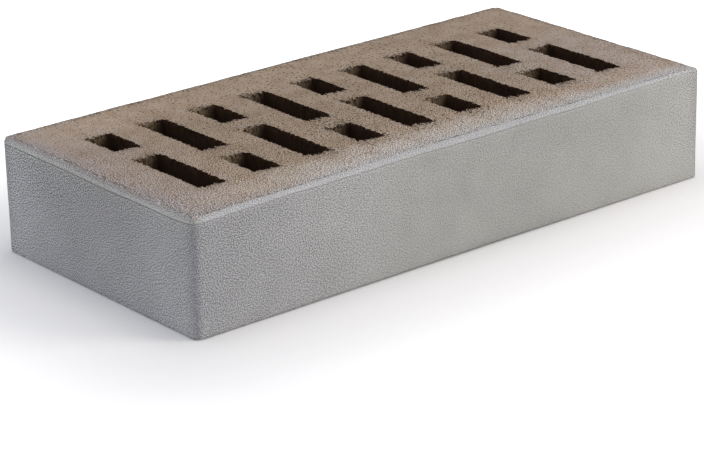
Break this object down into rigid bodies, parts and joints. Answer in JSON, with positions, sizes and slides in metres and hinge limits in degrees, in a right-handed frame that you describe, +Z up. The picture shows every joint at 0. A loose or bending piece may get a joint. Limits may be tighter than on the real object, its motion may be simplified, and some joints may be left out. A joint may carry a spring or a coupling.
{
  "type": "perforated clay facing brick",
  "caption": "Thin-format fired clay facing brick with rows of through slots, a bevelled upper arris and a grey engobe coat on its four side faces.",
  "frame": {"origin": "middle of the lower bed face, which is the bottom centre of the whole brick", "axes": "+X along the length, +Y across the width from the front stretcher face to the back one, +Z up to the bevelled bed"},
  "size_m": [0.25, 0.12, 0.046],
  "materials": {
    "engobed_clay": "matt grey engobe on the side faces, bare wire-cut brown clay on the beds"
  },
  "bodies": {
    "root": {"brick": "engobed_clay"}
  },
  "joints": []
}
